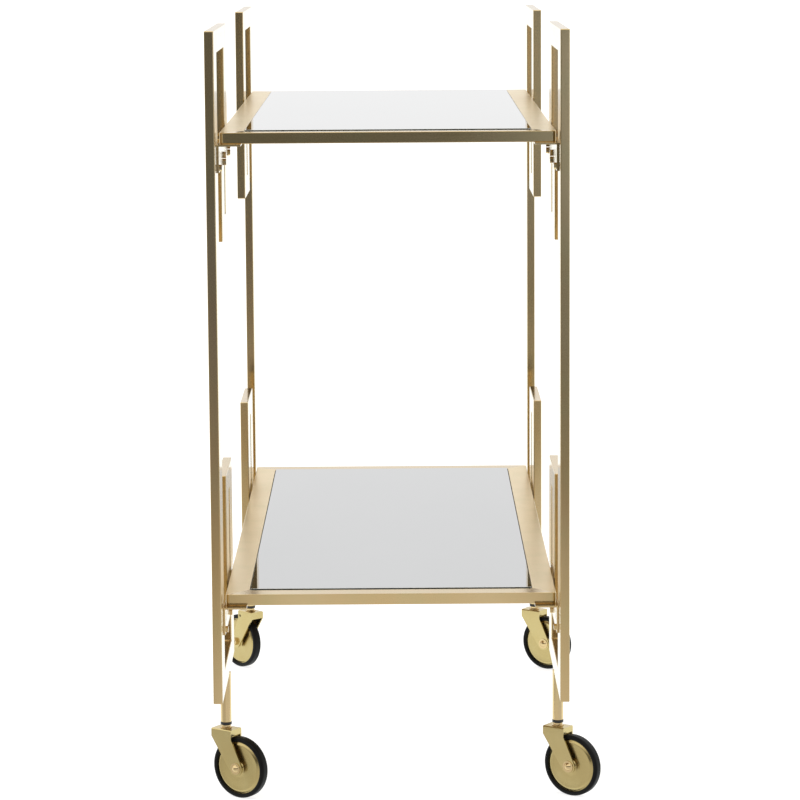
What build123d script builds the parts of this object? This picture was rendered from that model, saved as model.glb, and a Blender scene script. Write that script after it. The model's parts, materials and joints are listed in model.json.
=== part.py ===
from build123d import *
import os
from math import acos, atan2, cos, hypot, radians, sin

os.makedirs("parts", exist_ok=True)

# A bar cart on four swivel casters. X runs across the cart, Y along it from the front end (-Y) to
# the rear end (+Y), Z up. The origin is on the floor below the middle. All lengths in millimetres.
# An "inset" is a distance along the cart, measured inwards from the nearer end.

# How far a cutter runs past the face it cuts, and the bevel on small turned heads
OVERCUT = 1.0
HEAD_BEVEL = 1.0

# Overall size
LENGTH = 914.0
WIDTH = 381.0
HEIGHT = 858.0
LEG_BOTTOM = 141.0

# Legs: flat rectangular tube, each with an upper and a lower Greek-key loop facing inwards
BAR_THICKNESS = 10.0
BAR_DEPTH = 53.0
CROSSBAR_HEIGHT = 25.0
TUBE_WALL = 1.2
KEY_DEPTH = 250.0
KEY_SLOT = 19.0
UPPER_KEY_BOTTOM = 625.0
LOWER_KEY_TOP = 367.0
LEG_OUTER = WIDTH / 2
LEG_INNER = LEG_OUTER - BAR_THICKNESS
LEG_MIDDLE = (LEG_OUTER + LEG_INNER) / 2
OUTER_BAR_INSET = KEY_DEPTH - BAR_DEPTH
TAIL_INSET = OUTER_BAR_INSET - KEY_SLOT - BAR_DEPTH

# Shelves: mitred tube frames with a ledge that carries a backing board and a mirror
SHELF_WIDTH = 357.0
SHELF_END_INSET = 50.0
SHELF_LENGTH = LENGTH - 2 * SHELF_END_INSET
SHELF_HEIGHT = 12.0
SHELF_TOPS = {"upper": 749.0, "lower": 250.0}
SHELF_CORNER_RADIUS = 3.0
RAIL_WIDTH = 25.0
LEDGE_WIDTH = 12.0
LEDGE_THICKNESS = 1.5
BOARD_THICKNESS = 6.5
MIRROR_THICKNESS = 5.0
MIRROR_GAP = 0.8

# Angle brackets between the shelves and the legs, with their bolts, nuts and screws
BRACKET_THICKNESS = LEG_INNER - SHELF_WIDTH / 2
BRACKET_DROP = 30.0
BRACKET_FLANGE = 25.0
BRACKET_START = 38.0
BRACKET_END = 245.0
BRACKET_SLOT_INSET = 57.5
BRACKET_SLOT_WIDTH = 5.0
BRACKET_SLOT_LENGTH = 12.0
BRACKET_SLOT_DROP = 13.0
BOLT_SPOTS = [(46.0, 25.0), (132.0, 17.5), (132.0, 25.0), (224.0, 14.0), (224.0, 21.5)]
BOLT_RADIUS = 1.95
BOLT_HOLE_RADIUS = 2.1
BOLT_HEAD_FLATS = 6.0
BOLT_HEAD_HEIGHT = 2.8
RIVET_NUT_RADIUS = 3.0
RIVET_NUT_LENGTH = 5.0
SCREW_INSETS = [82.0, 200.0]
SCREW_X = 167.0
SCREW_RADIUS = 1.9
SCREW_LENGTH = 9.0
SCREW_HEAD_RADIUS = 3.5
SCREW_HEAD_HEIGHT = 2.2
SCREW_POINT_LENGTH = 2.0

# Casters: the swivel axis is under the middle of each key's tail bar
SWIVEL_X = LEG_MIDDLE
SWIVEL_Y = LENGTH / 2 - TAIL_INSET - BAR_DEPTH / 2
WHEEL_RADIUS = 34.5
TRAIL = 19.5
PIPE_RADIUS = 6.0
PIPE_BORE_RADIUS = 4.8
PIPE_BOTTOM = 84.0
SOCKET_RADIUS = 4.75
SOCKET_TOP = 122.0
SOCKET_FLANGE_RADIUS = 6.3
SOCKET_FLANGE_HEIGHT = 3.0
STEM_RADIUS = 4.0
STEM_TOP = 117.0
STEM_HEAD_RADIUS = 6.0
STEM_HEAD_HEIGHT = 1.8
COLLAR_RADIUS = 5.3
COLLAR_HEIGHT = 1.9
NECK_RADIUS = 4.5
STEM_BASE_RADIUS = 6.6
STEM_BASE_HEIGHT = 1.0
RUNNING_CLEARANCE = 0.05
FLANGE_CLEARANCE = 0.3
FORK_TOP = 77.0
FORK_SHEET = 1.8
FORK_LENGTH = 27.0
FORK_WIDTH = 20.0
FORK_BEND_RADIUS = 1.6
LEADING_SKIRT_BOTTOM = 68.0
TRAILING_SKIRT_BOTTOM = 70.2
CHEEK_SHOULDER = 66.5
CHEEK_HOLE_RADIUS = 1.6
CHEEK_HOLE_REACH = 9.5
CHEEK_HOLE_HEIGHT = 70.5
AXLE_BOSS_RADIUS = 8.5
AXLE_RADIUS = 3.0
AXLE_HEAD_RADIUS = 4.5
AXLE_HEAD_HEIGHT = 2.6
AXLE_WASHER_RADIUS = 6.5
AXLE_WASHER_THICKNESS = 0.8
AXLE_NUT_FLATS = 9.0
AXLE_NUT_HEIGHT = 3.6
AXLE_END_LENGTH = 0.6
DISC_RADIUS = 29.5
DISC_HALF_THICKNESS = 4.4
RIM_RIDGE_RADIUS = 26.0
RIM_RIDGE_HALF_WIDTH = 5.0
RIM_EDGE_RADIUS = 28.7
RIM_EDGE_HALF_WIDTH = 3.4
HUB_RADIUS = 7.0
HUB_HALF_LENGTH = 7.9
HUB_FLARE = 1.5
TYRE_HALF_WIDTH = 5.5
TYRE_SHOULDER_RADIUS = 2.6

# Each corner: side (+1 right), end (+1 rear), and the way its wheel trails, in degrees from +X
CORNERS = {
    "front_left": (-1, -1, -34.0),
    "front_right": (1, -1, -35.0),
    "rear_left": (-1, 1, 132.0),
    "rear_right": (1, 1, -34.0),
}


def box_between(low, high):
    """A box from its lowest corner to its highest."""
    size = [b - a for a, b in zip(low, high)]
    middle = [(a + b) / 2 for a, b in zip(low, high)]
    return Pos(*middle) * Box(*size)


def turned(*points):
    """Revolve a closed outline of (radius, height) points about the Z axis."""
    return revolve(make_face(Plane.XZ * Polyline(*points, close=True)), Axis.Z)


def cross_pin(radius, start, stop, inset, height):
    """A cylinder along X, at an inset and a height of the rear right corner."""
    spot = Pos((start + stop) / 2, LENGTH / 2 - inset, height)
    return spot * Rot(0, 90, 0) * Cylinder(radius, stop - start)


def to_corner(shape, side, end):
    """Mirror a piece of the rear right corner to another corner."""
    if side < 0:
        shape = mirror(shape, about=Plane.YZ)
    if end < 0:
        shape = mirror(shape, about=Plane.XZ)
    return shape


def save(node, solids):
    """Write one node's solids to its STEP file."""
    export_step(Compound(list(solids)), f"parts/{node}.step")


# --- Legs, drawn for the rear right corner ---


def leg_slab(points):
    """A plate as thick as a leg, from its outline of (inset, height) points."""
    outline = [(LENGTH / 2 - inset, height) for inset, height in points]
    face = make_face(Plane.YZ.offset(LEG_INNER) * Polyline(*outline, close=True))
    return extrude(face, BAR_THICKNESS, dir=(1, 0, 0))


def tube_bar(points, bore):
    """A tube with mitred ends: the slab inside its outline, less its bore (insets, then heights)."""
    near, far, low, high = bore
    hollow = box_between(
        (LEG_INNER + TUBE_WALL, LENGTH / 2 - far, low),
        (LEG_OUTER - TUBE_WALL, LENGTH / 2 - near, high),
    )
    return leg_slab(points) - hollow


def end_cap(near, low):
    """A thin plate that closes an upright's open end."""
    far = near + BAR_DEPTH
    high = low + TUBE_WALL
    return leg_slab([(near, low), (far, low), (far, high), (near, high)])


def upright(near, low, high):
    """A straight upright tube, open at both ends."""
    far = near + BAR_DEPTH
    outline = [(near, low), (far, low), (far, high), (near, high)]
    return tube_bar(outline, (near + TUBE_WALL, far - TUBE_WALL, low, high))


def key_bars(edge, tail_end):
    """The four bars of a Greek key, named by height.

    edge is the height of the long crossbar's outer edge at the leg's end, tail_end the height
    where the tail bar stops. The key coils from the post along the long crossbar, along the
    outer bar, back along the short crossbar and towards the shelf along the tail bar.
    """
    is_upper = edge > tail_end
    turn = 1 if is_upper else -1
    far_edge = UPPER_KEY_BOTTOM if is_upper else LOWER_KEY_TOP
    long_inner = edge - turn * CROSSBAR_HEIGHT
    short_inner = far_edge + turn * CROSSBAR_HEIGHT
    outer = OUTER_BAR_INSET
    tail_far = TAIL_INSET + BAR_DEPTH
    deepest = KEY_DEPTH - TUBE_WALL
    wall = turn * TUBE_WALL
    long_crossbar = tube_bar(
        [(BAR_DEPTH, edge), (KEY_DEPTH, edge), (outer, long_inner), (BAR_DEPTH, long_inner)],
        (BAR_DEPTH, deepest, *sorted((edge - wall, long_inner + wall))),
    )
    outer_bar = tube_bar(
        [(KEY_DEPTH, edge), (KEY_DEPTH, far_edge), (outer, short_inner), (outer, long_inner)],
        (outer + TUBE_WALL, deepest, *sorted((edge - wall, far_edge + wall))),
    )
    short_crossbar = tube_bar(
        [(KEY_DEPTH, far_edge), (TAIL_INSET, far_edge), (tail_far, short_inner), (outer, short_inner)],
        (TAIL_INSET + TUBE_WALL, deepest, *sorted((far_edge + wall, short_inner - wall))),
    )
    tail_bar = tube_bar(
        [(TAIL_INSET, far_edge), (TAIL_INSET, tail_end), (tail_far, tail_end), (tail_far, short_inner)],
        (TAIL_INSET + TUBE_WALL, tail_far - TUBE_WALL, *sorted((far_edge + wall, tail_end))),
    )
    return [long_crossbar, outer_bar, short_crossbar, tail_bar]


def bolt_holes():
    """Pins that cut the bracket bolts' holes through the inner wall of every bar."""
    start = LEG_INNER - OVERCUT
    stop = LEG_INNER + TUBE_WALL + OVERCUT
    return [
        cross_pin(BOLT_HOLE_RADIUS, start, stop, inset, shelf_bottom(shelf) - drop)
        for shelf in SHELF_TOPS
        for inset, drop in BOLT_SPOTS
    ]


def drilled(solids):
    """Cut the bolt holes, keeping every bar a solid of its own."""
    return [solid - bolt_holes() for solid in solids]


def post():
    """The full-height upright at the cart's end."""
    return drilled([upright(0, LEG_BOTTOM + TUBE_WALL, HEIGHT - TUBE_WALL)])


def upper_key():
    """The upper loop, whose tail bar rises to the underside of the upper shelf."""
    return drilled(key_bars(HEIGHT, shelf_bottom("upper") - TUBE_WALL))


def lower_key():
    """The lower loop, whose tail bar comes down past the edge of the lower shelf."""
    return drilled(key_bars(LEG_BOTTOM, shelf_bottom("lower") - BRACKET_DROP + TUBE_WALL))


def end_caps():
    """The plates that close the post and both tail bars."""
    return [
        end_cap(0, LEG_BOTTOM),
        end_cap(0, HEIGHT - TUBE_WALL),
        end_cap(TAIL_INSET, shelf_bottom("upper") - TUBE_WALL),
        end_cap(TAIL_INSET, shelf_bottom("lower") - BRACKET_DROP),
    ]


# --- Shelves ---


def shelf_bottom(shelf):
    """Height of a shelf frame's underside."""
    return SHELF_TOPS[shelf] - SHELF_HEIGHT


def rail_section(low):
    """A side rail's section across X: a tube on the outside and a ledge on the inside."""
    edge = SHELF_WIDTH / 2
    half = SHELF_LENGTH / 2
    top = low + SHELF_HEIGHT
    body = box_between((edge - RAIL_WIDTH, -half, low), (edge, half, top))
    bore = box_between(
        (edge - RAIL_WIDTH + TUBE_WALL, -half, low + TUBE_WALL),
        (edge - TUBE_WALL, half, top - TUBE_WALL),
    )
    ledge = box_between(
        (edge - RAIL_WIDTH - LEDGE_WIDTH, -half, low),
        (edge - RAIL_WIDTH, half, low + LEDGE_THICKNESS),
    )
    return body - bore + ledge


def mitre_block(half_width, half_length, low):
    """A block with 45-degree ends that trims the rail on the +X side of a frame."""
    depth = RAIL_WIDTH + LEDGE_WIDTH
    outline = Polyline(
        (half_width, half_length),
        (half_width - depth, half_length - depth),
        (half_width - depth, depth - half_length),
        (half_width, -half_length),
        close=True,
    )
    return extrude(Pos(0, 0, low) * make_face(outline), SHELF_HEIGHT, dir=(0, 0, 1))


def side_rail(low):
    """The rail on the +X side, with the holes that the bracket screws use."""
    rail = rail_section(low) & mitre_block(SHELF_WIDTH / 2, SHELF_LENGTH / 2, low)
    for inset in SCREW_INSETS:
        for end in (-1, 1):
            spot = Pos(SCREW_X, end * (LENGTH / 2 - inset), low)
            rail -= spot * Cylinder(SCREW_RADIUS + RUNNING_CLEARANCE, 4 * TUBE_WALL)
    return rail


def end_rail(low):
    """The rail across the rear end, turned from the side rail's section."""
    shift = (SHELF_LENGTH - SHELF_WIDTH) / 2
    section = Pos(shift, 0, 0) * rail_section(low)
    trimmed = section & mitre_block(SHELF_LENGTH / 2, SHELF_WIDTH / 2, low)
    return Rot(0, 0, 90) * trimmed


def shelf_frame(shelf):
    """Four mitred rails, rounded at the frame's outer corners."""
    low = shelf_bottom(shelf)
    side = side_rail(low)
    end = end_rail(low)
    rails = [side, mirror(side, about=Plane.YZ), end, mirror(end, about=Plane.XZ)]
    outline = RectangleRounded(SHELF_WIDTH, SHELF_LENGTH, SHELF_CORNER_RADIUS)
    block = extrude(Pos(0, 0, low) * outline, SHELF_HEIGHT, dir=(0, 0, 1))
    return [rail & block for rail in rails]


def shelf_panel(low, thickness):
    """A sheet that fills the frame's opening with a small gap all round."""
    half_x = SHELF_WIDTH / 2 - RAIL_WIDTH - MIRROR_GAP
    half_y = SHELF_LENGTH / 2 - RAIL_WIDTH - MIRROR_GAP
    return box_between((-half_x, -half_y, low), (half_x, half_y, low + thickness))


# --- Brackets and fasteners, drawn for the rear right corner ---


def bracket(shelf):
    """A steel angle under the shelf's edge, standing against the leg's bars."""
    high = shelf_bottom(shelf)
    start = LENGTH / 2 - BRACKET_END
    stop = LENGTH / 2 - BRACKET_START
    leaf_inner = LEG_INNER - BRACKET_THICKNESS
    leaf = box_between((leaf_inner, start, high - BRACKET_DROP), (LEG_INNER, stop, high))
    flange_corner = (LEG_INNER - BRACKET_FLANGE, start, high - BRACKET_THICKNESS)
    angle = leaf + box_between(flange_corner, (leaf_inner, stop, high))
    cut_start = leaf_inner - OVERCUT
    for inset, drop in BOLT_SPOTS:
        angle -= cross_pin(BOLT_HOLE_RADIUS, cut_start, LEG_INNER + OVERCUT, inset, high - drop)
    screw_hole = Cylinder(SCREW_RADIUS + RUNNING_CLEARANCE, 2 * (BRACKET_THICKNESS + OVERCUT))
    for inset in SCREW_INSETS:
        angle -= Pos(SCREW_X, LENGTH / 2 - inset, high) * screw_hole
    slot_y = LENGTH / 2 - BRACKET_SLOT_INSET
    slot = SlotOverall(BRACKET_SLOT_LENGTH, BRACKET_SLOT_WIDTH, rotation=90)
    placed = Plane.YZ.offset(cut_start) * Pos(slot_y, high - BRACKET_SLOT_DROP) * slot
    return angle - extrude(placed, BRACKET_THICKNESS + 2 * OVERCUT, dir=(1, 0, 0))


def bracket_bolts(shelf):
    """Hex bolts whose heads bear on the bracket's inner face."""
    bolts = []
    face = LEG_INNER - BRACKET_THICKNESS
    for inset, drop in BOLT_SPOTS:
        height = shelf_bottom(shelf) - drop
        shank = cross_pin(BOLT_RADIUS, face, LEG_INNER + TUBE_WALL + RIVET_NUT_LENGTH, inset, height)
        hexagon = RegularPolygon(BOLT_HEAD_FLATS / 2, 6, major_radius=False)
        plane = Plane.YZ.offset(face - BOLT_HEAD_HEIGHT)
        placed = plane * Pos(LENGTH / 2 - inset, height) * Rot(0, 0, 30) * hexagon
        bolts.append(shank + extrude(placed, BOLT_HEAD_HEIGHT, dir=(1, 0, 0)))
    return bolts


def rivet_nuts(shelf):
    """Threaded sleeves behind the inner wall of the bars, one for each bolt."""
    start = LEG_INNER + TUBE_WALL
    stop = start + RIVET_NUT_LENGTH
    nuts = []
    for inset, drop in BOLT_SPOTS:
        height = shelf_bottom(shelf) - drop
        sleeve = cross_pin(RIVET_NUT_RADIUS, start, stop, inset, height)
        bore_radius = BOLT_RADIUS + RUNNING_CLEARANCE
        bore = cross_pin(bore_radius, start - OVERCUT, stop + OVERCUT, inset, height)
        nuts.append(sleeve - bore)
    return nuts


def shelf_screws(shelf):
    """Pan-head screws that hold the shelf's side rail down on the bracket."""
    under = shelf_bottom(shelf) - BRACKET_THICKNESS
    screw = turned(
        (0, under - SCREW_HEAD_HEIGHT),
        (SCREW_HEAD_RADIUS - HEAD_BEVEL, under - SCREW_HEAD_HEIGHT),
        (SCREW_HEAD_RADIUS, under - SCREW_HEAD_HEIGHT + HEAD_BEVEL),
        (SCREW_HEAD_RADIUS, under),
        (SCREW_RADIUS, under),
        (SCREW_RADIUS, under + SCREW_LENGTH - SCREW_POINT_LENGTH),
        (0, under + SCREW_LENGTH),
    )
    return [Pos(SCREW_X, LENGTH / 2 - inset, 0) * screw for inset in SCREW_INSETS]


# --- Casters, drawn about their own swivel axis, with the wheel trailing towards +X ---


def caster_pipe():
    """The round pipe welded under the leg."""
    return turned(
        (PIPE_BORE_RADIUS, PIPE_BOTTOM),
        (PIPE_RADIUS, PIPE_BOTTOM),
        (PIPE_RADIUS, LEG_BOTTOM),
        (PIPE_BORE_RADIUS, LEG_BOTTOM),
    )


def caster_socket():
    """The black sleeve inside the pipe, with a flange that shows below it."""
    bore = STEM_RADIUS + RUNNING_CLEARANCE
    flange_bottom = PIPE_BOTTOM - SOCKET_FLANGE_HEIGHT
    return turned(
        (bore, flange_bottom),
        (SOCKET_FLANGE_RADIUS, flange_bottom),
        (SOCKET_FLANGE_RADIUS, PIPE_BOTTOM),
        (SOCKET_RADIUS, PIPE_BOTTOM),
        (SOCKET_RADIUS, SOCKET_TOP),
        (bore, SOCKET_TOP),
    )


def caster_stem():
    """The swivel stem: riveted under the fork, with a base, a neck and a collar above it."""
    fork_under = FORK_TOP - FORK_SHEET
    base_top = FORK_TOP + STEM_BASE_HEIGHT
    collar_top = PIPE_BOTTOM - SOCKET_FLANGE_HEIGHT - FLANGE_CLEARANCE
    return turned(
        (0, fork_under - STEM_HEAD_HEIGHT),
        (STEM_HEAD_RADIUS - HEAD_BEVEL, fork_under - STEM_HEAD_HEIGHT),
        (STEM_HEAD_RADIUS, fork_under - STEM_HEAD_HEIGHT + HEAD_BEVEL),
        (STEM_HEAD_RADIUS, fork_under),
        (STEM_RADIUS, fork_under),
        (STEM_RADIUS, FORK_TOP),
        (STEM_BASE_RADIUS, FORK_TOP),
        (STEM_BASE_RADIUS, base_top),
        (NECK_RADIUS, base_top),
        (NECK_RADIUS, collar_top - COLLAR_HEIGHT),
        (COLLAR_RADIUS, collar_top - COLLAR_HEIGHT),
        (COLLAR_RADIUS, collar_top),
        (STEM_RADIUS, collar_top),
        (STEM_RADIUS, STEM_TOP - HEAD_BEVEL),
        (STEM_RADIUS - HEAD_BEVEL, STEM_TOP),
        (0, STEM_TOP),
    )


def boss_tangent(point, turn):
    """Where a line from a point touches the axle boss; turn picks one of the two sides."""
    across = point[0] - TRAIL
    up = point[1] - WHEEL_RADIUS
    angle = atan2(up, across) + turn * acos(AXLE_BOSS_RADIUS / hypot(across, up))
    return (TRAIL + AXLE_BOSS_RADIUS * cos(angle), WHEEL_RADIUS + AXLE_BOSS_RADIUS * sin(angle))


def cheek_outline():
    """One cheek of the fork, in its own plane: square at the top, round about the axle."""
    half = FORK_LENGTH / 2
    leading = (-half, LEADING_SKIRT_BOTTOM)
    shoulder = (half, CHEEK_SHOULDER)
    left_touch = boss_tangent(leading, 1)
    right_touch = boss_tangent(shoulder, -1)
    lowest = (TRAIL, WHEEL_RADIUS - AXLE_BOSS_RADIUS)
    sides = Polyline(right_touch, shoulder, (half, FORK_TOP), (-half, FORK_TOP), leading, left_touch)
    return make_face(Curve() + [sides, ThreePointArc(left_touch, lowest, right_touch)])


def caster_fork():
    """The pressed fork: a top plate, two cheeks and two short end skirts in one sheet.

    The cheek on the nut's side has a small hole near its top.
    """
    half_length = FORK_LENGTH / 2
    half_width = FORK_WIDTH / 2
    face = Plane.XZ.offset(-half_width) * cheek_outline()
    solid = extrude(face, FORK_WIDTH, dir=(0, -1, 0))
    inner = half_width - FORK_SHEET
    reach = TRAIL + WHEEL_RADIUS
    under = FORK_TOP - FORK_SHEET
    room = box_between((FORK_SHEET - half_length, -inner, 0), (half_length - FORK_SHEET, inner, under))
    front_gap = box_between((-half_length, -inner, 0), (0, inner, LEADING_SKIRT_BOTTOM))
    rear_gap = box_between((0, -inner, 0), (reach, inner, TRAILING_SKIRT_BOTTOM))
    solid = solid - room - front_gap - rear_gap
    top_edges = solid.edges().filter_by(Axis.X).filter_by_position(Axis.Z, FORK_TOP, FORK_TOP)
    solid = fillet(top_edges, FORK_BEND_RADIUS)
    solid -= Cylinder(STEM_RADIUS + RUNNING_CLEARANCE, 3 * FORK_TOP)
    cheek_hole = Rot(90, 0, 0) * Cylinder(CHEEK_HOLE_RADIUS, FORK_WIDTH)
    solid -= Pos(CHEEK_HOLE_REACH, half_width, CHEEK_HOLE_HEIGHT) * cheek_hole
    axle_hole = Rot(90, 0, 0) * Cylinder(AXLE_RADIUS + 2 * RUNNING_CLEARANCE, 2 * FORK_WIDTH)
    return solid - Pos(TRAIL, 0, WHEEL_RADIUS) * axle_hole


def on_axle(shape):
    """Stand a turned piece on the axle: its +Z end points to the fork's -Y side."""
    return Pos(TRAIL, 0, WHEEL_RADIUS) * Rot(90, 0, 0) * shape


def axle_bolt():
    """The axle with its domed head, and the washer under the head."""
    seat = FORK_WIDTH / 2 + AXLE_WASHER_THICKNESS
    nut_face = -FORK_WIDTH / 2 - AXLE_NUT_HEIGHT
    dome_top = seat + AXLE_HEAD_HEIGHT
    lean = radians(45)
    dome = ThreePointArc(
        (0, dome_top),
        (AXLE_HEAD_RADIUS * sin(lean), seat + AXLE_HEAD_HEIGHT * cos(lean)),
        (AXLE_HEAD_RADIUS, seat),
    )
    rest = Polyline(
        (AXLE_HEAD_RADIUS, seat),
        (AXLE_RADIUS, seat),
        (AXLE_RADIUS, nut_face - AXLE_END_LENGTH),
        (0, nut_face - AXLE_END_LENGTH),
        (0, dome_top),
    )
    bolt = revolve(make_face(Plane.XZ * (Curve() + [dome, rest])), Axis.Z)
    washer = turned(
        (AXLE_RADIUS + 2 * RUNNING_CLEARANCE, FORK_WIDTH / 2),
        (AXLE_WASHER_RADIUS, FORK_WIDTH / 2),
        (AXLE_WASHER_RADIUS, seat),
        (AXLE_RADIUS + 2 * RUNNING_CLEARANCE, seat),
    )
    return [on_axle(bolt), on_axle(washer)]


def axle_nut():
    """The hexagon nut on the far end of the axle."""
    hexagon = RegularPolygon(AXLE_NUT_FLATS / 2, 6, major_radius=False)
    hole = Circle(AXLE_RADIUS + RUNNING_CLEARANCE)
    placed = Pos(0, 0, -FORK_WIDTH / 2 - AXLE_NUT_HEIGHT) * (hexagon - hole)
    return on_axle(extrude(placed, AXLE_NUT_HEIGHT, dir=(0, 0, 1)))


def wheel_disc():
    """The wheel: a long hub, a shallow dished disc and a bevelled rim, alike on both faces."""
    face = [
        (AXLE_RADIUS + RUNNING_CLEARANCE, HUB_HALF_LENGTH),
        (HUB_RADIUS, HUB_HALF_LENGTH),
        (HUB_RADIUS + HUB_FLARE, DISC_HALF_THICKNESS),
        (RIM_RIDGE_RADIUS, RIM_RIDGE_HALF_WIDTH),
        (RIM_EDGE_RADIUS, RIM_EDGE_HALF_WIDTH),
        (DISC_RADIUS, RIM_EDGE_HALF_WIDTH),
    ]
    back = [(radius, -height) for radius, height in reversed(face)]
    return on_axle(turned(*face, *back))


def tyre():
    """The rubber tyre, with rounded shoulders."""
    half = TYRE_HALF_WIDTH
    corners = [(DISC_RADIUS, -half), (WHEEL_RADIUS, -half), (WHEEL_RADIUS, half), (DISC_RADIUS, half)]
    section = make_face(Polyline(*corners, close=True))
    shoulders = section.vertices().filter_by_position(Axis.X, WHEEL_RADIUS, WHEEL_RADIUS)
    rounded = fillet(shoulders, TYRE_SHOULDER_RADIUS)
    return on_axle(revolve(Plane.XZ * rounded, Axis.Z))


def placed_caster(solids, side, end, trail_angle):
    """Turn a caster's pieces to the way it trails and set them under their corner."""
    spot = Pos(side * SWIVEL_X, end * SWIVEL_Y, 0) * Rot(0, 0, trail_angle)
    return [spot * solid for solid in solids]


# --- Write every node ---

LEG_NODES = {"leg_post": post(), "upper_key": upper_key(), "lower_key": lower_key()}
CASTER_NODES = {
    "caster_pipe": [caster_pipe()],
    "caster_socket": [caster_socket()],
    "caster_stem": [caster_stem()],
    "caster_fork": [caster_fork()],
    "axle_bolt": axle_bolt(),
    "axle_nut": [axle_nut()],
    "wheel_disc": [wheel_disc()],
    "wheel_tyre": [tyre()],
}

for corner, (side, end, trail_angle) in CORNERS.items():
    for piece, solids in LEG_NODES.items():
        save(f"{corner}_{piece}", [to_corner(solid, side, end) for solid in solids])
    for piece, solids in CASTER_NODES.items():
        save(f"{corner}_{piece}", placed_caster(solids, side, end, trail_angle))


def at_all_corners(solids):
    """Copies of a corner's pieces at all four corners."""
    return [to_corner(solid, side, end) for side, end, _ in CORNERS.values() for solid in solids]


save("tube_end_caps", at_all_corners(end_caps()))

for shelf in SHELF_TOPS:
    board_bottom = shelf_bottom(shelf) + LEDGE_THICKNESS
    mirror_bottom = board_bottom + BOARD_THICKNESS
    save(f"{shelf}_shelf_frame", shelf_frame(shelf))
    save(f"{shelf}_shelf_backing_board", [shelf_panel(board_bottom, BOARD_THICKNESS)])
    save(f"{shelf}_shelf_mirror", [shelf_panel(mirror_bottom, MIRROR_THICKNESS)])
    save(f"{shelf}_shelf_brackets", at_all_corners([bracket(shelf)]))
    save(f"{shelf}_bracket_bolts", at_all_corners(bracket_bolts(shelf)))
    save(f"{shelf}_rivet_nuts", at_all_corners(rivet_nuts(shelf)))
    save(f"{shelf}_shelf_screws", at_all_corners(shelf_screws(shelf)))
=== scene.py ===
"""The looks of the bar cart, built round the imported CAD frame.

The legs, the shelf rims and the turned pieces of the casters are rebuilt here as rounded meshes
that stand exactly where their CAD nodes stand. The other CAD nodes are carried over with rounded
edges. Lengths are in metres unless a comment says millimetres.
"""

import json
from math import cos, pi, radians, sin

import bmesh
import bpy
from mathutils import Matrix, Vector


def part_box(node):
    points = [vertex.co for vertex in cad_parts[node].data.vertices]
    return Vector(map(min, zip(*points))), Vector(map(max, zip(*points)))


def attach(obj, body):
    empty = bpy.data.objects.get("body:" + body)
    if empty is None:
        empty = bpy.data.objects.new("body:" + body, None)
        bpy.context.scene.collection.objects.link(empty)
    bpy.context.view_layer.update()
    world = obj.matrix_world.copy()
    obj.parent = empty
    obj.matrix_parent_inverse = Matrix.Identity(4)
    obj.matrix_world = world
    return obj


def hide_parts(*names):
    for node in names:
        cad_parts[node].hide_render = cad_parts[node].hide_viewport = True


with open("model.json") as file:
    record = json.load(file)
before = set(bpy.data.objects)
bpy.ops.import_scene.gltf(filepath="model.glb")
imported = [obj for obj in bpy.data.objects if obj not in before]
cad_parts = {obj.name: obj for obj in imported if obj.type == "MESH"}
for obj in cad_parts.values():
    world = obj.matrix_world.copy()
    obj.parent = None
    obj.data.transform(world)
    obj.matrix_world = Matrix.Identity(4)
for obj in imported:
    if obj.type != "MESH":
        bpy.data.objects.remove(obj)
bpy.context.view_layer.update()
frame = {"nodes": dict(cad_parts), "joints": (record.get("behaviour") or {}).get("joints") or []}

MM = 0.001
CORNERS = {
    "front_left": (-1, -1),
    "front_right": (1, -1),
    "rear_left": (-1, 1),
    "rear_right": (1, 1),
}

# Sizes of the legs and shelves that the CAD boxes don't give, in millimetres
CROSSBAR_HEIGHT = 25.0
TAIL_INSET = 125.0
BAR_DEPTH = 53.0
KEY_DEPTH = 250.0
UPPER_TAIL_TOP = 737.0
LOWER_TAIL_BOTTOM = 208.0
RAIL_WIDTH = 25.0
LEDGE_WIDTH = 12.0
LEDGE_THICKNESS = 1.5
SHELF_CORNER_RADIUS = 3.0
INNER_CORNER_RADIUS = 0.4

# Widths of the rounded edges, in millimetres
LEG_EDGE = 1.1
RIM_EDGE = 1.0
PLAIN_EDGE = 0.4
SHEET_EDGE = 0.3
SMALL_EDGE = 0.2
FINE_EDGE = 0.15


# --- Shader nodes ---


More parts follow.
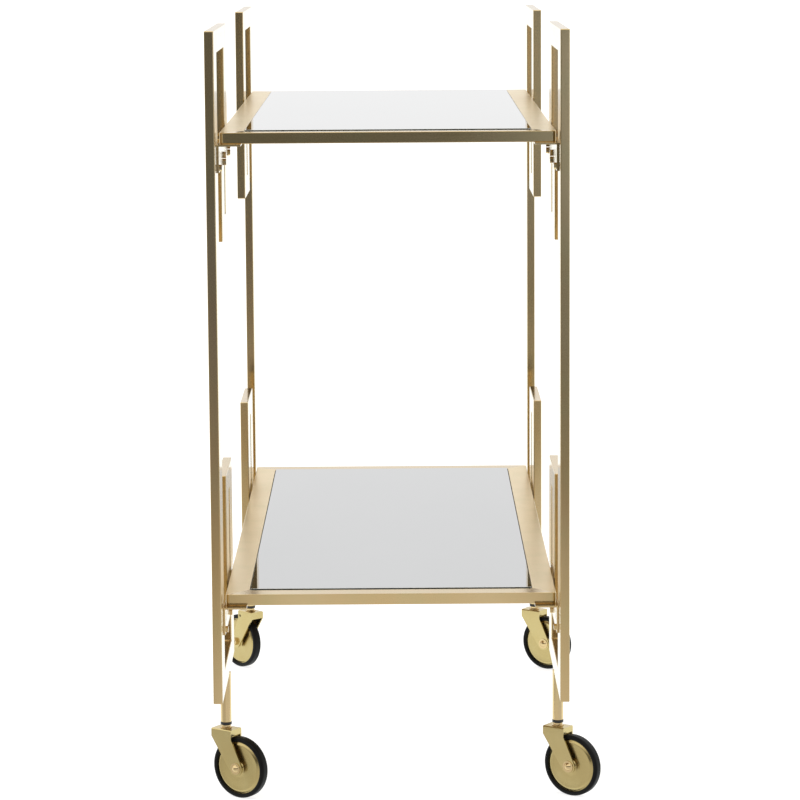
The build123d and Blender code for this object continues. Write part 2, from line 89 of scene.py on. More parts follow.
class Nodes:
    """A short way to write the nodes of a material or of the world."""

    def __init__(self, tree):
        self.nodes = tree.nodes
        self.links = tree.links

    def put(self, socket, value):
        """Give a socket a number, a colour or another node's output."""
        if isinstance(value, bpy.types.NodeSocket):
            self.links.new(value, socket)
        else:
            socket.default_value = (*value, 1.0) if isinstance(value, tuple) else value

    def math(self, operation, *values):
        """Work out a sum over numbers and outputs."""
        node = self.nodes.new("ShaderNodeMath")
        node.operation = operation
        for socket, value in zip(node.inputs, values):
            self.put(socket, value)
        return node.outputs["Value"]

    def spread(self, value, low, high, start=0.3, stop=0.7):
        """Map a value that runs from start to stop on to low to high."""
        node = self.nodes.new("ShaderNodeMapRange")
        limits = {"From Min": start, "From Max": stop, "To Min": low, "To Max": high}
        for name, number in limits.items():
            self.put(node.inputs[name], number)
        self.put(node.inputs["Value"], value)
        return node.outputs["Result"]

    def blend(self, factor, first, second, mode="MIX"):
        """Mix two colours, each a colour or an output."""
        node = self.nodes.new("ShaderNodeMix")
        node.data_type = "RGBA"
        node.blend_type = mode
        self.put(node.inputs["Factor"], factor)
        for name, colour in (("A", first), ("B", second)):
            self.put(next(s for s in node.inputs if s.name == name and s.type == "RGBA"), colour)
        return next(s for s in node.outputs if s.type == "RGBA")

    def ramp(self, value, stops):
        """Colours along a value, from stops of a position and a grey shade or a colour."""
        node = self.nodes.new("ShaderNodeValToRGB")
        elements = node.color_ramp.elements
        elements[0].position, elements[1].position = stops[0][0], stops[-1][0]
        for position, _ in stops[1:-1]:
            elements.new(position)
        for element, (_, shade) in zip(elements, stops):
            colour = shade if isinstance(shade, tuple) else (shade, shade, shade)
            element.color = (*colour, 1.0)
        self.put(node.inputs["Fac"], value)
        return node.outputs["Color"]

    def camera_ray(self):
        """1 for what the camera sees directly, and 0 for light and reflections."""
        return self.nodes.new("ShaderNodeLightPath").outputs["Is Camera Ray"]


class Shader(Nodes):
    """One Principled material."""

    def __init__(self, name, **values):
        self.material = bpy.data.materials.new(name)
        self.material.use_nodes = True
        super().__init__(self.material.node_tree)
        self.surface = self.nodes["Principled BSDF"]
        for socket, value in values.items():
            self.feed(value, socket.replace("_", " "))
        self.place = self.nodes.new("ShaderNodeTexCoord").outputs["Object"]

    def feed(self, value, socket):
        """Give one of the surface's sockets a number or an output."""
        self.put(self.surface.inputs[socket], value)

    def noise(self, scale, stretch=(1.0, 1.0, 1.0), detail=3.0, roughness=0.5):
        """Noise over object space in metres, drawn out along an axis where stretch is small."""
        mapping = self.nodes.new("ShaderNodeMapping")
        mapping.inputs["Scale"].default_value = stretch
        self.put(mapping.inputs["Vector"], self.place)
        noise = self.nodes.new("ShaderNodeTexNoise")
        self.put(noise.inputs["Vector"], mapping.outputs["Vector"])
        for name, number in (("Scale", scale), ("Detail", detail), ("Roughness", roughness)):
            self.put(noise.inputs[name], number)
        return noise.outputs["Fac"]

    def bump(self, height, strength, depth):
        """Feed a height to the surface's normal, with its depth in millimetres."""
        node = self.nodes.new("ShaderNodeBump")
        self.put(node.inputs["Strength"], strength)
        self.put(node.inputs["Distance"], depth * MM)
        self.put(node.inputs["Height"], height)
        self.feed(node.outputs["Normal"], "Normal")


# --- Materials ---

# The two tones that each gold finish wanders between, and the greener tone of its patches
TUBE_TONES = ((0.660, 0.500, 0.270), (0.620, 0.450, 0.220))
# The side rails' tones are the tubes' gold made paler, a painted sheen for the light their tops
# catch
LIT_RAIL_TONES = ((0.740, 0.600, 0.360), (0.700, 0.550, 0.310))
PRESSED_TONES = ((0.550, 0.440, 0.205), (0.510, 0.400, 0.175))
DISC_TONES = ((0.500, 0.395, 0.180), (0.455, 0.355, 0.150))
PATCH_TONE = (0.570, 0.490, 0.250)

TUBE_ROUGHNESS = 0.14
RAIL_ROUGHNESS = 0.30
PLATE_ROUGHNESS = 0.24
FASTENER_ROUGHNESS = 0.12
ROUGHNESS_WANDER = 0.02

# The grain's scale along a bar, against 1 across it
LONG = 0.02


def gold(name, tones, roughness, stretch=(1.0, 1.0, 1.0)):
    """Satin champagne-gold plating, with a faint fine grain drawn out along the bar."""
    shader = Shader(name, Metallic=1.0)
    streaks = shader.noise(900.0, stretch, detail=4.0, roughness=0.65)
    clouds = shader.noise(9.0)
    patches = shader.noise(28.0, detail=4.0, roughness=0.6)
    tone = shader.blend(shader.spread(clouds, 0.0, 1.0), *tones)
    green = shader.spread(patches, low=0.0, high=0.45, start=0.45, stop=0.75)
    shader.feed(shader.blend(green, tone, PATCH_TONE), "Base Color")
    grain = shader.math("MULTIPLY_ADD", patches, 0.5, streaks)
    low, high = roughness - ROUGHNESS_WANDER, roughness + ROUGHNESS_WANDER
    shader.feed(shader.spread(grain, low, high, start=0.5, stop=1.0), "Roughness")
    shader.bump(streaks, strength=0.015, depth=0.02)
    return shader.material


def mottled(name, pattern, tones, roughness, bump=None, **values):
    """A material whose colour and roughness both follow one noise.

    pattern describes that noise. bump, where there is one, holds the scale of a second and finer
    noise, the strength of its relief and the relief's depth in millimetres.
    """
    shader = Shader(name, **values)
    mottle = shader.noise(**pattern)
    shader.feed(shader.blend(shader.spread(mottle, 0.0, 1.0), *tones), "Base Color")
    shader.feed(shader.spread(mottle, *roughness), "Roughness")
    if bump:
        scale, strength, depth = bump
        shader.bump(shader.noise(scale), strength, depth)
    return shader.material


def fibreboard():
    """Brown pressed fibreboard under the mirrors."""
    pale, brown, dark = (0.20, 0.125, 0.070), (0.33, 0.22, 0.13), (0.16, 0.10, 0.06)
    shader = Shader("fibreboard")
    fibres = shader.noise(420.0, (1.0, 0.4, 1.0), detail=6.0, roughness=0.7)
    clouds = shader.noise(12.0)
    tone = shader.blend(shader.spread(fibres, 0.0, 1.0), pale, brown)
    shader.feed(shader.blend(shader.spread(clouds, 0.0, 0.4), tone, dark), "Base Color")
    shader.feed(shader.spread(fibres, 0.65, 0.85), "Roughness")
    shader.bump(fibres, strength=0.35, depth=0.15)
    return shader.material


GOLD_ALONG_Z = gold("satin_gold_upright", TUBE_TONES, TUBE_ROUGHNESS, (1.0, 1.0, LONG))
GOLD_ALONG_Y = gold("satin_gold_lengthways", TUBE_TONES, TUBE_ROUGHNESS, (1.0, LONG, 1.0))
GOLD_ALONG_X = gold("satin_gold_crossways", TUBE_TONES, TUBE_ROUGHNESS, (LONG, 1.0, 1.0))
# The side rails: a paler copy of the tube gold, with painted sheen, and a rougher finish
GOLD_RAIL_PAINTED_SHEEN = gold("satin_gold_side_rail_painted_sheen", LIT_RAIL_TONES, RAIL_ROUGHNESS, (1.0, LONG, 1.0))
GOLD_PRESSED = gold("plated_gold", PRESSED_TONES, PLATE_ROUGHNESS)
GOLD_DISC = gold("plated_gold_disc", DISC_TONES, PLATE_ROUGHNESS)
GOLD_FASTENER = gold("fastener_gold", TUBE_TONES, FASTENER_ROUGHNESS)

# Zinc-plated steel for the rivet nuts inside the tubes
ZINC = mottled(
    "zinc_plate",
    pattern={"scale": 160.0, "detail": 4.0},
    tones=((0.66, 0.65, 0.62), (0.50, 0.50, 0.49)),
    roughness=(0.24, 0.40),
    bump=(1500.0, 0.12, 0.02),
    Metallic=1.0,
)
# Smooth black moulded rubber with a soft shine
TYRE = mottled(
    "tyre_rubber",
    pattern={"scale": 60.0, "detail": 4.0},
    tones=((0.004, 0.004, 0.004), (0.008, 0.008, 0.007)),
    roughness=(0.40, 0.50),
    bump=(2200.0, 0.15, 0.03),
    Specular_IOR_Level=0.12,
)
# Matte black moulded plastic for the caster sockets
PLASTIC = mottled(
    "socket_plastic",
    pattern={"scale": 120.0},
    tones=((0.012, 0.012, 0.012), (0.025, 0.024, 0.023)),
    roughness=(0.38, 0.55),
    bump=(1800.0, 0.2, 0.03),
)
# The mirror's face: clear and flat, with faint smears
MIRROR_FACE = mottled(
    "silvered_glass",
    pattern={"scale": 5.0, "stretch": (1.0, 0.35, 1.0), "detail": 5.0, "roughness": 0.6},
    tones=((0.520, 0.525, 0.530), (0.500, 0.506, 0.512)),
    roughness=(0.012, 0.030),
    Metallic=1.0,
)
# The mirror's ground edge, nearly black from the thickness of the glass
MIRROR_EDGE = mottled(
    "glass_edge",
    pattern={"scale": 700.0},
    tones=((0.006, 0.009, 0.008), (0.014, 0.020, 0.017)),
    roughness=(0.30, 0.45),
    Specular_IOR_Level=0.3,
)
# The ground corner between the mirror's face and its edge: its pale colour is a painted highlight
# of caught light
MIRROR_ARRIS_HIGHLIGHT = mottled(
    "glass_arris_painted_highlight",
    pattern={"scale": 500.0},
    tones=((0.74, 0.77, 0.76), (0.60, 0.66, 0.64)),
    roughness=(0.15, 0.30),
    Specular_IOR_Level=0.8,
)
BOARD = fibreboard()


# --- Meshes ---

LATHE_STEPS = 96
ARC_STEPS = 6
MERGE_DISTANCE = 0.001 * MM
SHARPEST_SMOOTH_ANGLE = radians(30)


def finish_mesh(name, bm, materials):
    """Make an object of a bmesh, smooth-shaded, with its materials."""
    bmesh.ops.recalc_face_normals(bm, faces=bm.faces)
    mesh = bpy.data.meshes.new(name)
    bm.to_mesh(mesh)
    bm.free()
    for material in materials:
        mesh.materials.append(material)
    for polygon in mesh.polygons:
        polygon.use_smooth = True
    piece = bpy.data.objects.new(name, mesh)
    bpy.context.collection.objects.link(piece)
    return piece


def round_edges(piece, width, segments=3):
    """Round a piece's sharp edges, to a width in millimetres."""
    modifier = piece.modifiers.new("rounded_edges", "BEVEL")
    modifier.width = width * MM
    modifier.segments = segments
    modifier.limit_method = "ANGLE"
    modifier.angle_limit = SHARPEST_SMOOTH_ANGLE
    modifier.harden_normals = True
    modifier.miter_outer = "MITER_ARC"


def plate_of_bars(name, polygons, thickness, place, materials):
    """Flat bars joined edge to edge, made thick and walled round their outline.

    polygons holds (points, material index) for each bar, with points in the plate's own plane.
    place turns a point and a depth into a position in space.
    """
    bm = bmesh.new()
    corners = {}

    def vertex(point, depth):
        key = (point, depth)
        if key not in corners:
            corners[key] = bm.verts.new(place(point, depth))
        return corners[key]

    walls = {}
    for points, material in polygons:
        for depth in (0.0, thickness):
            face = bm.faces.new([vertex(point, depth) for point in points])
            face.material_index = material
        for start, stop in zip(points, points[1:] + points[:1]):
            edge = frozenset((start, stop))
            walls[edge] = None if edge in walls else (start, stop, material)
    for wall in walls.values():
        if wall is not None:
            start, stop, material = wall
            ends = [(start, 0.0), (stop, 0.0), (stop, thickness), (start, thickness)]
            face = bm.faces.new([vertex(point, depth) for point, depth in ends])
            face.material_index = material
    return finish_mesh(name, bm, materials)


def turned(name, profile, matrix, material):
    """Spin a closed profile of (radius, height) points, in millimetres, about its Z axis."""
    bm = bmesh.new()
    ring = [bm.verts.new((radius * MM, 0.0, height * MM)) for radius, height in profile]
    edges = [bm.edges.new((a, b)) for a, b in zip(ring, ring[1:] + ring[:1])]
    bmesh.ops.spin(
        bm,
        geom=ring + edges,
        axis=(0, 0, 1),
        cent=(0, 0, 0),
        angle=2 * pi,
        steps=LATHE_STEPS,
        use_merge=True,
    )
    bmesh.ops.remove_doubles(bm, verts=bm.verts, dist=MERGE_DISTANCE)
    bmesh.ops.dissolve_degenerate(bm, edges=bm.edges, dist=MERGE_DISTANCE)
    piece = finish_mesh(name, bm, [material])
    piece.data.transform(matrix)
    return piece


def arc(centre, radius, start, stop):
    """Points along an arc, with the angles in degrees."""
    angles = [radians(start + (stop - start) * i / ARC_STEPS) for i in range(ARC_STEPS + 1)]
    return [(centre[0] + radius * cos(a), centre[1] + radius * sin(a)) for a in angles]


def both_faces(profile):
    """A profile for one face of a wheel, closed with its mirror image on the other face."""
    return profile + [(radius, -height) for radius, height in reversed(profile)]


# --- Legs ---

# A leg's materials by index, for the bars that stand upright and those that lie level
LEG_MATERIALS = [GOLD_ALONG_Z, GOLD_ALONG_Y]
UPRIGHT, LEVEL = 0, 1


def millimetres(length):
    """A length of the frame in millimetres, rounded so that equal lengths compare equal."""
    return round(length / MM, 3)


def key_polygons(edge, far_edge, tail_end, turn):
    """The bars of one Greek key as (inset, height) polygons with the index of their material.

    edge is the height of the leg's end that the key hangs on, far_edge is the key's other end,
    and turn is 1 at the top of a leg and -1 at its bottom. From the post, the bars run out level,
    along the leg, back level, and along the leg again towards edge, as far as tail_end.
    """
    outer = KEY_DEPTH - BAR_DEPTH
    tail = TAIL_INSET + BAR_DEPTH
    inner_edge = edge - turn * CROSSBAR_HEIGHT
    inner_far = far_edge + turn * CROSSBAR_HEIGHT
    crossbar = [(BAR_DEPTH, edge), (BAR_DEPTH, inner_edge), (outer, inner_edge), (KEY_DEPTH, edge)]
    outer_bar = [
        (KEY_DEPTH, edge),
        (outer, inner_edge),
        (outer, inner_far),
        (KEY_DEPTH, far_edge),
    ]
    short_bar = [
        (KEY_DEPTH, far_edge),
        (outer, inner_far),
        (tail, inner_far),
        (TAIL_INSET, far_edge),
    ]
    tail_bar = [
        (TAIL_INSET, far_edge),
        (tail, inner_far),
        (tail, tail_end),
        (TAIL_INSET, tail_end),
    ]
    return [(crossbar, LEVEL), (outer_bar, UPRIGHT), (short_bar, LEVEL), (tail_bar, UPRIGHT)]


def leg(corner, side, end):
    """One leg with both its keys, drawn as a single rounded flat tube."""
    upper_low, upper_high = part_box(f"{corner}_upper_key")
    lower_low, lower_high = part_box(f"{corner}_lower_key")
    post_low, post_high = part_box(f"{corner}_leg_post")
    top = millimetres(upper_high.z)
    bottom = millimetres(lower_low.z)
    outer_face = post_high.x if side > 0 else post_low.x
    end_face = post_high.y if end > 0 else post_low.y
    thickness = (post_high.x - post_low.x) / MM
    # The post has a point at each corner of a crossbar, so that the two share an edge
    post = [
        (0.0, bottom),
        (BAR_DEPTH, bottom),
        (BAR_DEPTH, bottom + CROSSBAR_HEIGHT),
        (BAR_DEPTH, top - CROSSBAR_HEIGHT),
        (BAR_DEPTH, top),
        (0.0, top),
    ]
    polygons = [(post, UPRIGHT)]
    polygons += key_polygons(top, millimetres(upper_low.z), UPPER_TAIL_TOP, 1)
    polygons += key_polygons(bottom, millimetres(lower_high.z), LOWER_TAIL_BOTTOM, -1)

    def place(point, depth):
        inset, height = point
        return Vector((outer_face - side * depth * MM, end_face - end * inset * MM, height * MM))

    piece = plate_of_bars(f"{corner}_leg", polygons, thickness, place, LEG_MATERIALS)
    round_edges(piece, LEG_EDGE)
    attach(piece, "cart")
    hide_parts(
        f"{corner}_leg_post",
        f"{corner}_upper_key",
        f"{corner}_lower_key",
        "tube_end_caps",
    )


for corner, (side, end) in CORNERS.items():
    leg(corner, side, end)


# --- Shelf frames ---

# How far past each rounded corner a point lies on the straight side, in millimetres
SUPPORT = 1.5
CORNER_POINTS = ARC_STEPS + 3

# A rim's materials by index, for the side rails, whose paler gold is a painted sheen, and the end
# rails
RIM_MATERIALS = [GOLD_RAIL_PAINTED_SHEEN, GOLD_ALONG_X]
SIDE_RAIL, END_RAIL = 0, 1


def ring_faces(bm, outer, inner, low, high):
    """A flat-sided ring between two outlines of as many points, from one height to another.

    Each face comes with the number of the outline point that it starts from.
    """
    count = len(outer)
    levels = {}
    for name, outline in (("outer", outer), ("inner", inner)):
        for height in (low, high):
            levels[name, height] = [bm.verts.new((x, y, height)) for x, y in outline]
    faces = []
    for i in range(count):
        j = (i + 1) % count
        for first, second in (
            (("outer", low), ("outer", high)),
            (("inner", low), ("inner", high)),
            (("outer", low), ("inner", low)),
            (("outer", high), ("inner", high)),
        ):
            a, b = levels[first], levels[second]
            faces.append((bm.faces.new((a[i], a[j], b[j], b[i])), i))
    return faces


def corner_outline(half_x, half_y, radius):
    """A rectangle with rounded corners, each of CORNER_POINTS points.

    The first and last point of a corner lie on the straight sides, which keeps those shaded flat.
    """
    points = []
    for index, (sx, sy) in enumerate(((1, 1), (-1, 1), (-1, -1), (1, -1))):
        centre = (sx * (half_x - radius), sy * (half_y - radius))
        bend = arc(centre, radius, 90 * index, 90 * index + 90)
        along = (-sin(pi / 2 * index) * SUPPORT * MM, cos(pi / 2 * index) * SUPPORT * MM)
        before = (bend[0][0] - along[0], bend[0][1] - along[1])
        after = (bend[-1][0] - along[1], bend[-1][1] + along[0])
        points += [before, *bend, after]
    return points


def shelf_rim(shelf):
    """A shelf's mitred tube frame, with the ledge under the board."""
    low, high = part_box(f"{shelf}_shelf_frame")
    width = RAIL_WIDTH * MM
    ledge = width + LEDGE_WIDTH * MM
    outer = corner_outline(high.x, high.y, SHELF_CORNER_RADIUS * MM)
    inner = corner_outline(high.x - width, high.y - width, INNER_CORNER_RADIUS * MM)
    ledge_inner = corner_outline(high.x - ledge, high.y - ledge, INNER_CORNER_RADIUS * MM)
    bm = bmesh.new()
    faces = ring_faces(bm, outer, inner, low.z, high.z)
    faces += ring_faces(bm, inner, ledge_inner, low.z, low.z + LEDGE_THICKNESS * MM)
    for face, i in faces:
        # A corner's first half belongs to the rail before it, and the rest to the rail after it
        corner, step = divmod(i, CORNER_POINTS)
        first_half = step <= ARC_STEPS / 2
        end_rail_follows = corner % 2 == 0
        face.material_index = END_RAIL if end_rail_follows != first_half else SIDE_RAIL
    piece = finish_mesh(f"{shelf}_shelf_rim", bm, RIM_MATERIALS)
    round_edges(piece, RIM_EDGE)
    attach(piece, "cart")
    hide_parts(f"{shelf}_shelf_frame")


for shelf in ("upper", "lower"):
    shelf_rim(shelf)


# --- Casters ---

JOINTS = {joint["name"]: joint for joint in frame["joints"]}

# Profiles of the turned pieces, as (radius, height) points in millimetres. Those of the pipe, the
# socket and the stem stand on the floor. The others are measured from the middle of the wheel.
HUB_FACE = [
    (3.05, 7.9),
    (6.5, 7.9),
    (7.0, 7.5),
    (7.0, 5.6),
    (7.5, 4.8),
    (8.6, 4.4),
    (12.0, 4.4),
    (20.0, 4.6),
    (25.2, 4.9),
    (25.8, 5.0),
    (26.4, 4.85),
    (28.3, 3.6),
    (28.8, 3.4),
    (29.5, 3.4),
]
TYRE_FACE = (
    [(29.5, 4.6), (29.9, 5.2), (30.6, 5.5)]
    + arc((31.9, 2.9), 2.6, 90, 10)
    + [(34.5, 1.6), (34.5, 0.8)]
)
PIPE = [(4.8, 84.0), (6.0, 84.0), (6.0, 141.0), (4.8, 141.0)]
SOCKET = [(4.05, 81.0), (6.3, 81.0), (6.3, 84.0), (4.75, 84.0), (4.75, 122.0), (4.05, 122.0)]
STEM = [
    (0.0, 73.4),
    (4.6, 73.4),
    (5.6, 73.8),
    (6.0, 74.6),
    (6.0, 75.2),
    (4.0, 75.2),
    (4.0, 77.0),
    (6.6, 77.0),
    (6.6, 78.0),
    (4.5, 78.0),
    (4.5, 78.8),
    (5.3, 78.8),
    (5.3, 80.7),
    (4.0, 80.7),
    (4.0, 116.0),
    (3.0, 117.0),
    (0.0, 117.0),
]
WASHER_TOP = 10.8
AXLE = arc((0.0, 8.58), 4.82, 90, 28) + [
    (4.5, WASHER_TOP),
    (3.0, WASHER_TOP),
    (3.0, -14.0),
    (2.6, -14.2),
    (0.0, -14.2),
]
AXLE_WASHER = [(3.1, 10.0), (6.5, 10.0), (6.5, WASHER_TOP), (3.1, WASHER_TOP)]


def swivel_line(joint):
    """A matrix whose Z axis is the swivel's, with its origin on the floor."""
    x, y, _ = joint["pos_m"]
    return Matrix.Translation((x, y, 0.0))


def joint_frame(joint):
    """A matrix that puts the Z axis along a joint's axis, with its origin on the joint."""
    axis = Vector(joint["axis"]).normalized()
    turn = axis.to_track_quat("Z", "Y").to_matrix().to_4x4()
    return Matrix.Translation(Vector(joint["pos_m"])) @ turn


def caster(corner):
    """The turned pieces of one caster, each on its own body.

    A row of the plan ends with the CAD node that the piece replaces. The washer has none of its
    own, because the axle bolt's node holds both.
    """
    swivel = swivel_line(JOINTS[f"{corner}_swivel"])
    spin = joint_frame(JOINTS[f"{corner}_roll"])
    head_side = spin @ Matrix.Rotation(pi, 4, "X")
    disc, tyre = both_faces(HUB_FACE), both_faces(TYRE_FACE)
    fork, wheel = f"{corner}_fork", f"{corner}_wheel"
    plan = [
        ("pipe", PIPE, swivel, GOLD_ALONG_Z, PLAIN_EDGE, "cart", "gold_metal", "caster_pipe"),
        ("socket", SOCKET, swivel, PLASTIC, PLAIN_EDGE, "cart", "socket_plastic", "caster_socket"),
        ("stem", STEM, swivel, GOLD_FASTENER, SMALL_EDGE, fork, "gold_plate", "caster_stem"),
        ("axle", AXLE, head_side, GOLD_FASTENER, FINE_EDGE, fork, "gold_plate", "axle_bolt"),
        ("disc", disc, spin, GOLD_DISC, SMALL_EDGE, wheel, "gold_plate", "wheel_disc"),
        ("tyre", tyre, spin, TYRE, SMALL_EDGE, wheel, "tyre_rubber", "wheel_tyre"),
        ("washer", AXLE_WASHER, head_side, GOLD_FASTENER, FINE_EDGE, fork, "gold_plate", None),
    ]
    for name, profile, matrix, material, edge, body, slot, node in plan:
        piece = turned(f"{corner}_{name}", profile, matrix, material)
        round_edges(piece, edge, segments=2)
        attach(piece, body)
        if node:
            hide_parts(f"{corner}_{node}")


for corner in CORNERS:
    caster(corner)


# --- CAD nodes that are carried over ---

# A mirror's materials by index
MIRROR_MATERIALS = (MIRROR_FACE, MIRROR_EDGE, MIRROR_ARRIS_HIGHLIGHT)
FACE, EDGE, ARRIS_HIGHLIGHT = 0, 1, 2

# The end of each node's name, the width of its rounded edges and its material
SHELF_PIECES = (
    ("shelf_backing_board", SHEET_EDGE, BOARD),
    ("shelf_brackets", SHEET_EDGE, GOLD_ALONG_Y),
    ("bracket_bolts", SMALL_EDGE, GOLD_FASTENER),
    ("rivet_nuts", SMALL_EDGE, ZINC),
    ("shelf_screws", FINE_EDGE, GOLD_FASTENER),
)
CASTER_PIECES = (
    ("caster_fork", SHEET_EDGE, GOLD_PRESSED),
    ("axle_nut", SHEET_EDGE, GOLD_FASTENER),
)


def carry(node, width, *materials):
    """Show a CAD node with joined faces, rounded edges and its own materials."""
    piece = frame["nodes"][node]
    mesh = piece.data
    if "custom_normal" in mesh.attributes:
        mesh.attributes.remove(mesh.attributes["custom_normal"])
    mesh.materials.clear()
    for material in materials:
        mesh.materials.append(material)
    for polygon in mesh.polygons:
        polygon.use_smooth = True
        polygon.material_index = 0
    weld = piece.modifiers.new("joined_faces", "WELD")
    weld.merge_threshold = MERGE_DISTANCE
    round_edges(piece, width)
    return piece


def paint_mirror(node):
    """The mirror's top is silvered, its edges and back are dark, and its arris is painted pale as
    a highlight.
    """
    piece = carry(node, SHEET_EDGE, *MIRROR_MATERIALS)
    # The rounded edges take the pale material, a painted highlight along the glass's arris
    piece.modifiers["rounded_edges"].material = ARRIS_HIGHLIGHT
    for polygon in piece.data.polygons:
        polygon.material_index = FACE if polygon.normal.z > 0.5 else EDGE


for shelf in ("upper", "lower"):
    paint_mirror(f"{shelf}_shelf_mirror")
    for node, width, material in SHELF_PIECES:
        carry(f"{shelf}_{node}", width, material)
for corner in CORNERS:
    for node, width, material in CASTER_PIECES:
        carry(f"{corner}_{node}", width, material)


# --- Stage ---

BLACK = (0.0, 0.0, 0.0)
WHITE = (1.0, 1.0, 1.0)
DARK_ROOM = (0.085, 0.078, 0.066)
SEEN_SKY = (0.98, 0.98, 0.98)

# The sky by direction, on scales from 0 to 1: from ahead to behind the camera, and from straight
# down to straight up. The dark room is where both of the first two are 1.
ROOM_BEHIND = ((0.0, 0.0), (0.58, 0.0), (0.86, 1.0), (1.0, 1.0))
ROOM_LOW_DOWN = ((0.0, 1.0), (0.60, 1.0), (0.76, 0.0), (1.0, 0.0))
CEILING_GLOW = ((0.0, 0.0), (0.62, 0.0), (0.70, 0.4), (1.0, 0.4))

FLOOR_HALF_SIZE = 60.0
FLOOR_SHADE = (0.40, 0.40, 0.40)
FLOOR_GLOW = 1.35
SEEN_GLOW = 0.80

# The floor's glow as the metal sees it, by distance in front of the cart: ahead and to the left,
# and on the right
FRONT_END = -0.46
FADE_LENGTH = 16.0
LEFT_FADE = (
    (0.0, (0.72, 0.72, 0.70)),
    (0.57, (0.61, 0.60, 0.58)),
    (1.14, (0.48, 0.45, 0.38)),
    (1.9, (0.34, 0.30, 0.30)),
    (2.5, (0.27, 0.27, 0.27)),
    (3.84, (0.22, 0.21, 0.26)),
    (4.7, (0.19, 0.19, 0.25)),
    (7.8, (0.14, 0.17, 0.18)),
    (13.0, (0.15, 0.15, 0.14)),
    (16.0, (0.19, 0.20, 0.23)),
)
RIGHT_FADE = (
    (0.0, (0.84, 0.86, 0.92)),
    (0.62, (0.76, 0.78, 0.82)),
    (1.14, (0.56, 0.57, 0.54)),
    (1.9, (0.33, 0.30, 0.28)),
    (2.97, (0.25, 0.29, 0.30)),
    (4.6, (0.32, 0.36, 0.40)),
    (7.8, (0.58, 0.64, 0.76)),
    (13.2, (0.90, 1.02, 1.28)),
    (16.0, (0.90, 1.02, 1.28)),
)

# Where the right-hand fade begins, as a bearing from a point behind the cart, near the camera's
# mirror image in the front faces
MIRRORED_VIEW = 2.84
RIGHT_BEARING = (0.051, 0.057)

# The bright patch in the middle: its glow, its half width, and its reach as a part of the fade
MIDDLE_GLOW = 0.86
MIDDLE_HALF_WIDTH = (0.21, 0.235)
MIDDLE_REACH = (0.11, 0.20)

# Where the even glow under and behind the cart begins, and its tint
BEHIND_START = (-0.365, -0.305)
BEHIND_TINT = (0.96, 1.0, 1.0)


def studio_world():
    """White all round, with a dark room low down behind the camera and a bright ceiling.

    The camera sees plain near-white in every direction.
    """
    world = bpy.data.worlds.new("studio")
    bpy.context.scene.world = world
    world.use_nodes = True
    sky = Nodes(world.node_tree)
    direction = sky.nodes.new("ShaderNodeSeparateXYZ")
    sky.put(direction.inputs["Vector"], sky.nodes.new("ShaderNodeTexCoord").outputs["Generated"])
    behind = sky.math("MULTIPLY_ADD", direction.outputs["Y"], -0.5, 0.5)
    height = sky.math("MULTIPLY_ADD", direction.outputs["Z"], 0.5, 0.5)
    dark = sky.math("MULTIPLY", sky.ramp(behind, ROOM_BEHIND), sky.ramp(height, ROOM_LOW_DOWN))
    glow = sky.blend(dark, WHITE, DARK_ROOM)
    glow = sky.blend(1.0, glow, sky.ramp(height, CEILING_GLOW), mode="ADD")
    seen = sky.blend(sky.camera_ray(), glow, SEEN_SKY)
    sky.put(sky.nodes["Background"].inputs["Color"], seen)


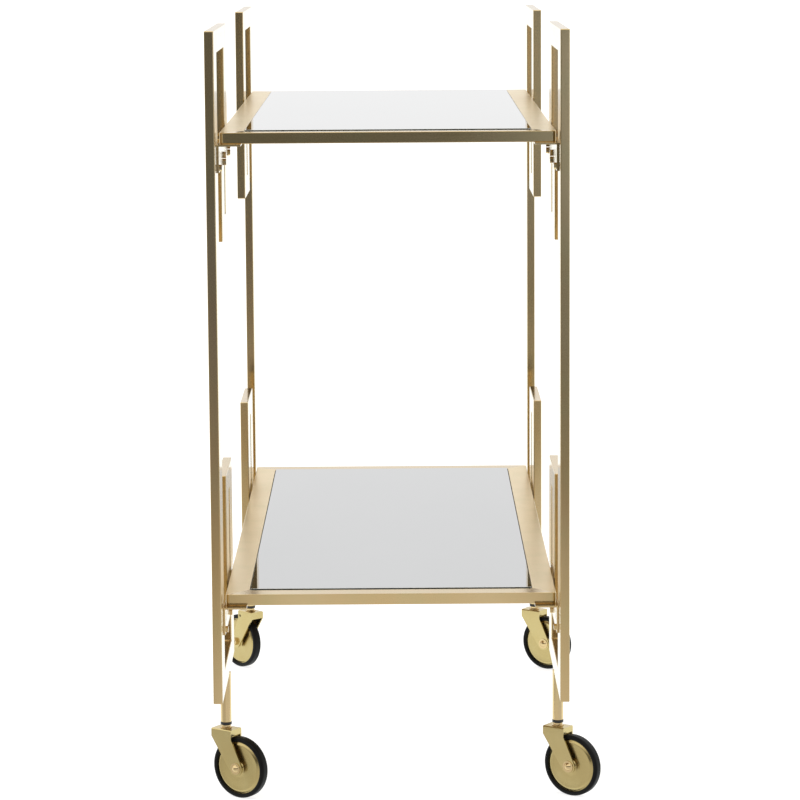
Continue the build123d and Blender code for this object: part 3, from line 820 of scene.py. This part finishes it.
def floor_glow(shader):
    """The floor's colour as the metal sees it.

    It fades to dark far out in front of the cart, less so on the right. A bright patch lies in
    the middle close by, and the floor under and behind the cart is bright all over.
    """
    split = shader.nodes.new("ShaderNodeSeparateXYZ")
    shader.put(split.inputs["Vector"], shader.place)
    x, y = split.outputs["X"], split.outputs["Y"]
    reach = shader.spread(y, 0.0, 1.0, FRONT_END, FRONT_END - FADE_LENGTH)

    def fade(stops):
        scaled = []
        for distance, colour in stops:
            scaled.append((distance / FADE_LENGTH, tuple(part / FLOOR_GLOW for part in colour)))
        return shader.ramp(reach, scaled)

    bearing = shader.math("DIVIDE", x, shader.math("SUBTRACT", MIRRORED_VIEW, y))
    on_right = shader.spread(bearing, 0.0, 1.0, *RIGHT_BEARING)
    glow = shader.blend(on_right, fade(LEFT_FADE), fade(RIGHT_FADE))
    middle = shader.spread(shader.math("ABSOLUTE", x), 1.0, 0.0, *MIDDLE_HALF_WIDTH)
    close = shader.spread(reach, 1.0, 0.0, *MIDDLE_REACH)
    centre = (MIDDLE_GLOW / FLOOR_GLOW,) * 3
    glow = shader.blend(shader.math("MULTIPLY", middle, close), glow, centre)
    return shader.blend(shader.spread(y, 0.0, 1.0, *BEHIND_START), glow, BEHIND_TINT)


def studio_floor():
    """A plain white floor, which glows so that only faint shadows lie on it."""
    bm = bmesh.new()
    bmesh.ops.create_grid(bm, x_segments=1, y_segments=1, size=FLOOR_HALF_SIZE)
    floor = finish_mesh("studio_floor", bm, [])
    shader = Shader(
        "pale_floor", Roughness=1.0, Specular_IOR_Level=0.0, Emission_Strength=FLOOR_GLOW
    )
    seen = shader.camera_ray()
    shader.feed(shader.blend(seen, BLACK, FLOOR_SHADE), "Base Color")
    plain = (SEEN_GLOW / FLOOR_GLOW,) * 3
    shader.feed(shader.blend(seen, floor_glow(shader), plain), "Emission Color")
    floor.data.materials.append(shader.material)


studio_world()
studio_floor()
bpy.context.scene.view_settings.view_transform = "Standard"


# --- Camera ---

# The angles are in radians, and the lens and the sensor in millimetres
CAMERA_PLACE = Vector((0.0091, -3.8236, 0.977))
CAMERA_YAW = 0.0007
CAMERA_PITCH = 0.1375
CAMERA_ROLL = -0.0066
CAMERA_LENS = 145.1
CAMERA_SHIFT = -0.0494
SENSOR_WIDTH = 36.0


def studio_camera():
    """A long lens in front of the cart, a little above its top."""
    data = bpy.data.cameras.new("camera")
    data.lens = CAMERA_LENS
    data.sensor_width = SENSOR_WIDTH
    data.shift_y = CAMERA_SHIFT
    camera = bpy.data.objects.new("camera", data)
    bpy.context.collection.objects.link(camera)
    forward = Vector(
        (
            sin(CAMERA_YAW) * cos(CAMERA_PITCH),
            cos(CAMERA_YAW) * cos(CAMERA_PITCH),
            -sin(CAMERA_PITCH),
        )
    )
    right = Vector((cos(CAMERA_YAW), -sin(CAMERA_YAW), 0.0))
    up = right.cross(forward)
    rolled_right = cos(CAMERA_ROLL) * right + sin(CAMERA_ROLL) * up
    rolled_up = cos(CAMERA_ROLL) * up - sin(CAMERA_ROLL) * right
    turn = Matrix((rolled_right, rolled_up, -forward)).transposed().to_4x4()
    camera.matrix_world = Matrix.Translation(CAMERA_PLACE) @ turn
    bpy.context.scene.camera = camera


studio_camera()
